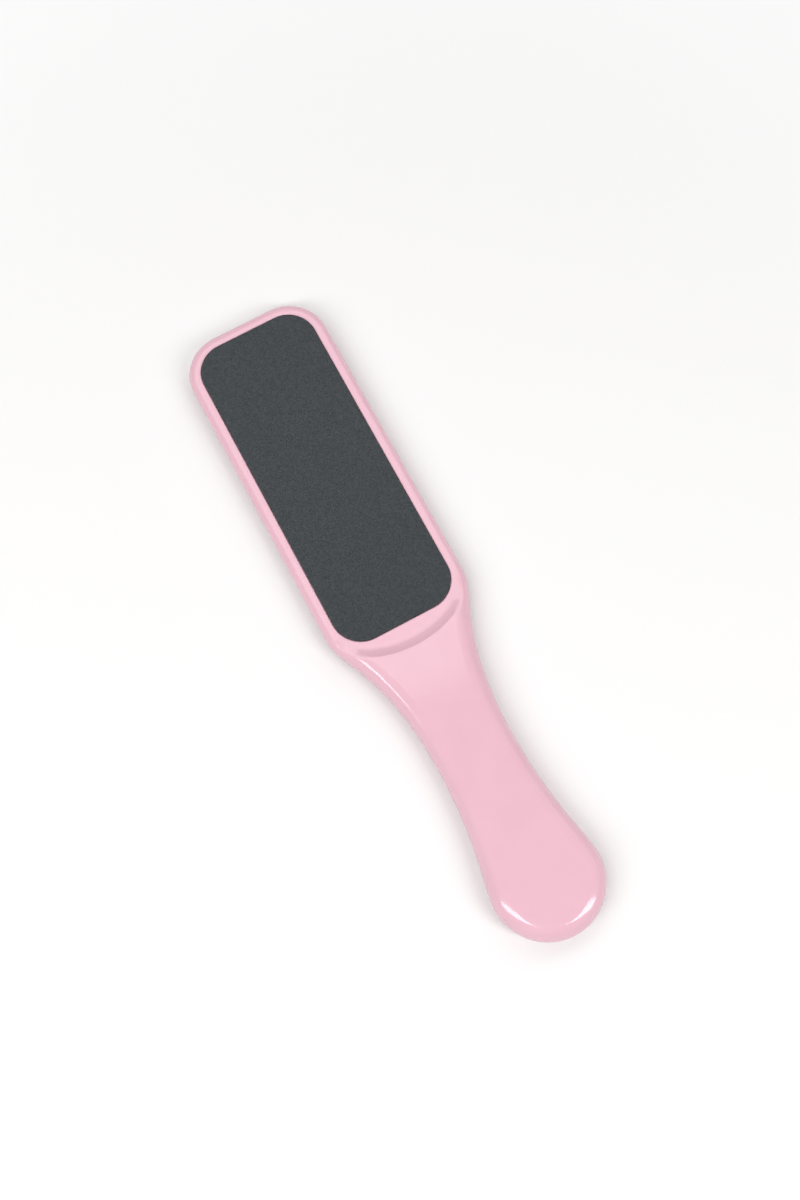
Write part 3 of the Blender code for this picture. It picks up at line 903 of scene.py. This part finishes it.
# %% [markdown]
# ## Sink the recesses
#
# A recess hides the sheet's glued edge, so that no finger can peel it off. A Boolean with the plate
# cuts it. The plate widens in a small curve at its top, so the rim comes out round, as moulded
# plastic is. Weighted normals keep the flat land looking flat beside that curve.

# %% Cut a recess in each half
RECESS_DEPTH = 0.0006
RECESS_FLOOR = LAND - RECESS_DEPTH
RECESS_FIT = 0.00015
MOUTH_RADIUS = 0.00025
MOUTH_STEPS = 4
CUTTER_OVERRUN = 0.001
SHARP_ANGLE = math.radians(40)
for name, side in (("front_moulding", 1), ("back_moulding", -1)):
    mouth = [(RECESS_FIT, side * RECESS_FLOOR)]
    for k in range(MOUTH_STEPS + 1):
        turn = quarter * k / MOUTH_STEPS
        growth = RECESS_FIT + MOUTH_RADIUS * (1 - math.cos(turn))
        mouth.append((growth, side * (LAND - MOUTH_RADIUS * (1 - math.sin(turn)))))
    mouth.append((mouth[-1][0], side * (LAND + CUTTER_OVERRUN)))
    cutter = sheet_stack(name + "_recess", mouth)
    half = halves[name]
    combine(half, cutter, "DIFFERENCE")
    half.data.shade_smooth()
    half.data.set_sharp_from_angle(angle=SHARP_ANGLE)
    even = half.modifiers.new("even_normals", "WEIGHTED_NORMAL")
    even.keep_sharp = True
    make_plain(half)
    print(name, "has", len(half.data.polygons), "faces after the cut")

# %% [markdown]
# ## Abrasive sheets with real grit
#
# A sheet is a thin plate with thousands of grains on it. Modelling them one by one is hopeless and a
# picture of them would stay flat, so Geometry Nodes scatter them: Poisson points keep a minimum
# distance, each point gets a small five-sided chip, tilted, turned and scaled by chance, and sunk
# partly into the coat. The seed is fixed, so the same sheet comes out every time.

# %% Write down the grit's sizes and rule
GRIT_SIZES = {"Side": 1.0, "Grain": COARSE_GRAIN, "Spacing": COARSE_GRAIN, "Bury": 0.0001, "Seed": 7.0}
CHIP_CORNERS = 5
CHIP_SHARES = {"radius": 0.5, "tip_radius": 0.24, "tallness": 0.5}
LEVEL_ENOUGH = 0.99
DENSEST = 6.0e6
LEAST_TUMBLE, MOST_TUMBLE = (-0.2, -0.2, 0.0), (0.2, 0.2, 2 * math.pi)
LEAST_STRETCH, MOST_STRETCH = (0.55, 0.5, 0.55), (1.15, 0.95, 1.0)
TUMBLE_SEED = 11
STRETCH_SEED = 12
grit_tree, given, result = new_tree("scatter_grit", GRIT_SIZES)
grit_tree.interface.new_socket("Finish", in_out="INPUT", socket_type="NodeSocketMaterial")
values = {size: given.outputs[size] for size in GRIT_SIZES}
GRIT_RULE = (
    *((size, "MULTIPLY", "Grain", share) for size, share in CHIP_SHARES.items()),
    ("side_bury", "MULTIPLY", "Side", "Bury"),
    ("sink", "MULTIPLY", "side_bury", -1.0),
    ("facing", "MULTIPLY", "up", "Side"),
)
print("The rule has", len(GRIT_RULE), "lines")

# %% Scatter points on the upper face
facing = add_node(grit_tree, "GeometryNodeInputNormal")
parts = add_node(grit_tree, "ShaderNodeSeparateXYZ", {0: facing.outputs["Normal"]})
values["up"] = parts.outputs["Z"]
add_rule(grit_tree, values, GRIT_RULE)
on_top = add_node(
    grit_tree,
    "FunctionNodeCompare",
    {"A": values["facing"], "B": LEVEL_ENOUGH},
    data_type="FLOAT",
    operation="GREATER_THAN",
)
points = add_node(
    grit_tree,
    "GeometryNodeDistributePointsOnFaces",
    {
        "Mesh": given.outputs["Geometry"],
        "Selection": on_top.outputs["Result"],
        "Distance Min": values["Spacing"],
        "Density Max": DENSEST,
        "Seed": values["Seed"],
    },
    distribute_method="POISSON",
)
offset = add_node(grit_tree, "ShaderNodeCombineXYZ", {"Z": values["sink"]})
sunk = add_node(
    grit_tree,
    "GeometryNodeSetPosition",
    {"Geometry": points.outputs["Points"], "Offset": offset.outputs["Vector"]},
)
print("Added", points.name, "and", sunk.name)

# %% Set a chip on each point
chip = add_node(
    grit_tree,
    "GeometryNodeMeshCone",
    {
        "Vertices": CHIP_CORNERS,
        "Radius Top": values["tip_radius"],
        "Radius Bottom": values["radius"],
        "Depth": values["tallness"],
    },
)
tumble = add_node(
    grit_tree,
    "FunctionNodeRandomValue",
    {0: LEAST_TUMBLE, 1: MOST_TUMBLE, "Seed": TUMBLE_SEED},
    data_type="FLOAT_VECTOR",
)
stretch = add_node(
    grit_tree,
    "FunctionNodeRandomValue",
    {0: LEAST_STRETCH, 1: MOST_STRETCH, "Seed": STRETCH_SEED},
    data_type="FLOAT_VECTOR",
)
tilt = add_node(
    grit_tree,
    "FunctionNodeRotateRotation",
    {"Rotation": points.outputs["Rotation"], "Rotate By": tumble.outputs[0]},
    rotation_space="LOCAL",
)
chips = add_node(
    grit_tree,
    "GeometryNodeInstanceOnPoints",
    {
        "Points": sunk.outputs["Geometry"],
        "Instance": chip.outputs["Mesh"],
        "Rotation": tilt.outputs["Rotation"],
        "Scale": stretch.outputs[0],
    },
)
both = add_node(grit_tree, "GeometryNodeJoinGeometry")
grit_tree.links.new(chips.outputs["Instances"], both.inputs["Geometry"])
grit_tree.links.new(given.outputs["Geometry"], both.inputs["Geometry"])
end_tree(grit_tree, result, both.outputs["Geometry"], given.outputs["Finish"])
print("The tree has", len(grit_tree.nodes), "nodes")

# %% [markdown]
# ## The coarse and the fine sheet
#
# Each sheet lies on its film in a recess. The plate's edge is softened, so that its rim doesn't look
# razor sharp. Its top lies a little below the solid's top, which leaves room for the grains. The fine
# grains lie further apart for their size, because that many more would make a heavy mesh.

# %% Make the two sheets
FILM_THICKNESS = 0.0002
FILM_TOP = RECESS_FLOOR + FILM_THICKNESS
EDGE_SOFTENING = 0.0002
SOFTENING_STEPS = 3
PROUD_SHARE = 0.3
BURIED_SHARE = 0.12
COARSE_SPACING_SHARE = 1.25
FINE_SPACING_SHARE = 1.55
coarse_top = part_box("coarse_abrasive_sheet")[1].z
fine_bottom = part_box("fine_abrasive_sheet")[0].z
sheets = {}
for name, side, reach, grain, spacing_share, finish in (
    ("coarse_sheet", 1, coarse_top - SEAM_HEIGHT, COARSE_GRAIN, COARSE_SPACING_SHARE, coarse_grit),
    ("fine_sheet", -1, SEAM_HEIGHT - fine_bottom, FINE_GRAIN, FINE_SPACING_SHARE, fine_grit),
):
    top = reach - grain * PROUD_SHARE
    rings = [(0, side * FILM_TOP)]
    for k in range(SOFTENING_STEPS + 1):
        turn = quarter * k / SOFTENING_STEPS
        inset = EDGE_SOFTENING * (1 - math.cos(turn))
        rings.append((-inset, side * (top - EDGE_SOFTENING * (1 - math.sin(turn)))))
    sheet = sheet_stack(name, rings)
    sizes = {
        "Side": float(side),
        "Grain": grain,
        "Spacing": grain * spacing_share,
        "Bury": grain * BURIED_SHARE,
        "Finish": finish,
    }
    give_tree(sheet, grit_tree, sizes)
    make_plain(sheet)
    sheets[name] = sheet
    print(name, "has", len(sheet.data.polygons), "faces")

# %% [markdown]
# ## Hand the pieces over
#
# Each new piece stands for a solid of the frame and moves with the tool's one rigid body.

# %% Say what each piece replaces
for piece, node, slot in (
    (halves["front_moulding"], "front_shell", "pink_abs"),
    (halves["back_moulding"], "back_shell", "pink_abs"),
    (sheets["coarse_sheet"], "coarse_abrasive_sheet", "coarse_grit"),
    (sheets["fine_sheet"], "fine_abrasive_sheet", "fine_grit"),
):
    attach(piece, "root")
    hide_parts(node)
    print(piece.name, "stands for", node)

# %% [markdown]
# ## Floor
#
# A product photo of a pale plastic tool needs a white ground that still holds a soft shadow. The
# floor is a plain sheet of near-white paper. It gives camera rays and mirror rays a little light of
# its own, so the ground reads as white without more light on the tool. Away from the tool, where no
# shadow falls, it fades to plain white, so that no horizon shows behind the tool.

# %% Lay the floor
FLOOR_HALF = 3.0
# The floor lies a hair below the tool, so that no two faces share a plane.
FLOOR_DROP = 0.00002
floor_mesh = bpy.data.meshes.new("floor")
corners = [(x * FLOOR_HALF, y * FLOOR_HALF, -FLOOR_DROP) for x, y in ((-1, -1), (1, -1), (1, 1), (-1, 1))]
floor_mesh.from_pydata(corners, [], [(0, 1, 2, 3)])
floor = add_object("floor", floor_mesh)
floor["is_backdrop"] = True
print("The floor is", 2 * FLOOR_HALF, "m wide")

# %% Make the white paper
PAPER_GLOW = 0.07
SHADOW_REACH = 0.13
FADE_END = 0.4
paper, tree, shader = new_finish("white_paper_ground")
tree.nodes.remove(shader)
seen = add_node(tree, "ShaderNodeLightPath")
seen_or_mirrored = add_node(
    tree,
    "ShaderNodeMath",
    {0: seen.outputs["Is Camera Ray"], 1: seen.outputs["Is Glossy Ray"]},
    operation="MAXIMUM",
)
place = add_node(tree, "ShaderNodeTexCoord")
distance = add_node(tree, "ShaderNodeVectorMath", {0: place.outputs["Object"]}, operation="LENGTH")
far_off = add_node(
    tree,
    "ShaderNodeMapRange",
    {"Value": distance.outputs["Value"], "From Min": SHADOW_REACH, "From Max": FADE_END},
    interpolation_type="SMOOTHSTEP",
)
fade = add_node(
    tree,
    "ShaderNodeMath",
    {0: far_off.outputs["Result"], 1: seen_or_mirrored.outputs[0]},
    operation="MULTIPLY",
)
glow_strength = add_node(
    tree, "ShaderNodeMath", {0: seen_or_mirrored.outputs[0], 1: PAPER_GLOW}, operation="MULTIPLY"
)
white = add_node(tree, "ShaderNodeBsdfDiffuse", {"Color": linear("#e6e5e4")})
glow = add_node(tree, "ShaderNodeEmission", {"Strength": glow_strength.outputs[0]})
near_paper = add_node(tree, "ShaderNodeAddShader", {0: white.outputs[0], 1: glow.outputs[0]})
far_paper = add_node(tree, "ShaderNodeEmission", {"Strength": 1.0})
ground = add_node(
    tree, "ShaderNodeMixShader", {0: fade.outputs[0], 1: near_paper.outputs[0], 2: far_paper.outputs[0]}
)
tree.links.new(ground.outputs[0], tree.nodes["Material Output"].inputs["Surface"])
floor_mesh.materials.append(paper)
print("Made", paper.name)

# %% [markdown]
# ## Light
#
# A room of pale walls gives soft light from low down, so the world is brighter at its horizon than
# overhead. A wide panel beyond the head puts a faint sheen on the flat faces. Two long thin soft
# boxes stand for the lamps of the studio: their mirror images on the rounded end of the handle are
# the two white crescents that tell the eye how smooth and how round it is.

# %% Light the room
HORIZON_STRENGTH = 0.45
OVERHEAD_STRENGTH = 0.03
world = bpy.data.worlds.new("soft_room")
bpy.context.scene.world = world
world.use_nodes = True
tree = world.node_tree
tree.nodes.clear()
facing = add_node(tree, "ShaderNodeTexCoord")
height = add_node(tree, "ShaderNodeSeparateXYZ", {0: facing.outputs["Generated"]})
dim_overhead = add_node(
    tree,
    "ShaderNodeMapRange",
    {"Value": height.outputs["Z"], "To Min": HORIZON_STRENGTH, "To Max": OVERHEAD_STRENGTH},
)
room = add_node(
    tree, "ShaderNodeBackground", {"Color": linear("#fbfbff"), "Strength": dim_overhead.outputs["Result"]}
)
backdrop = add_node(tree, "ShaderNodeBackground", {"Color": (1.0, 1.0, 1.0, 1.0), "Strength": 1.0})
seen = add_node(tree, "ShaderNodeLightPath")
by_ray = {0: seen.outputs["Is Camera Ray"], 1: room.outputs[0], 2: backdrop.outputs[0]}
choice = add_node(tree, "ShaderNodeMixShader", by_ray)
add_node(tree, "ShaderNodeOutputWorld", {"Surface": choice.outputs[0]})
print("The room goes from", HORIZON_STRENGTH, "at the horizon to", OVERHEAD_STRENGTH, "overhead")

# %% Hang the lamps
LAMP_HEIGHT = 0.8


def soft_box(name, place, along, size, radiance):
    """Rectangular lamp at this place in plan, facing down, with its long side along a direction in plan."""
    lamp = bpy.data.lights.new(name, "AREA")
    lamp.shape = "RECTANGLE"
    lamp.size, lamp.size_y = size
    lamp.energy = radiance * math.pi * size[0] * size[1]
    obj = add_object(name, lamp)
    obj.location = (*place, LAMP_HEIGHT)
    obj.rotation_euler = (0, 0, math.atan2(along[1], along[0]))


soft_box("far_panel", place=(0.3, 0.455), along=(1, 0), size=(2.3, 0.65), radiance=1.6)
soft_box("left_strip", place=(-0.72, -0.18), along=(-1, 0.2), size=(1.1, 0.22), radiance=8.7)
soft_box("right_strip", place=(0.45, -0.7), along=(0.72, -0.67), size=(0.92, 0.25), radiance=9.3)

# %% [markdown]
# ## Camera
#
# The camera looks down on the tool from the photograph's place, about half a metre above it, and is
# turned so that the tool lies askew in an upright frame. Two of its axes are written as directions,
# the third follows, and a matrix made of them turns the camera without any chain of angles.

# %% Set the camera
LENS_MILLIMETRES = 41.85
SENSOR_MILLIMETRES = 36
CAMERA_PLACE = (-0.038172, -0.096571, 0.455575)
back = Vector((-0.08777666, -0.21788789, 0.97201858))
up = Vector((0.4632091, 0.85494293, 0.23347358))
right = up.cross(back).normalized()
turned = Matrix((right, back.cross(right).normalized(), back.normalized())).transposed().to_4x4()
lens = bpy.data.cameras.new("photo_camera")
lens.lens = LENS_MILLIMETRES
lens.sensor_width = SENSOR_MILLIMETRES
camera = add_object("photo_camera", lens)
camera.matrix_world = Matrix.Translation(CAMERA_PLACE) @ turned
bpy.context.scene.camera = camera
bpy.context.scene.view_settings.view_transform = "Standard"
print(f"The camera stands {100 * camera.location.z:.0f} cm above the floor")

# %% [markdown]
#
# The surfaces must not grow past the solids that they stand for, or the tool would seem to sink into what it
# touches. The script prints how far the surfaces' box reaches past the solids' box.

# %% Check the size
low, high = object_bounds()
sizes = {"cad": [list(cad_low), list(cad_high)], "visual": [list(low), list(high)]}
beyond = [1000 * (surface - solid) for surface, solid in zip((*low, *high), (*cad_low, *cad_high))]
print("The surfaces' box less the solids' box, mm:", [round(gap, 3) for gap in beyond])
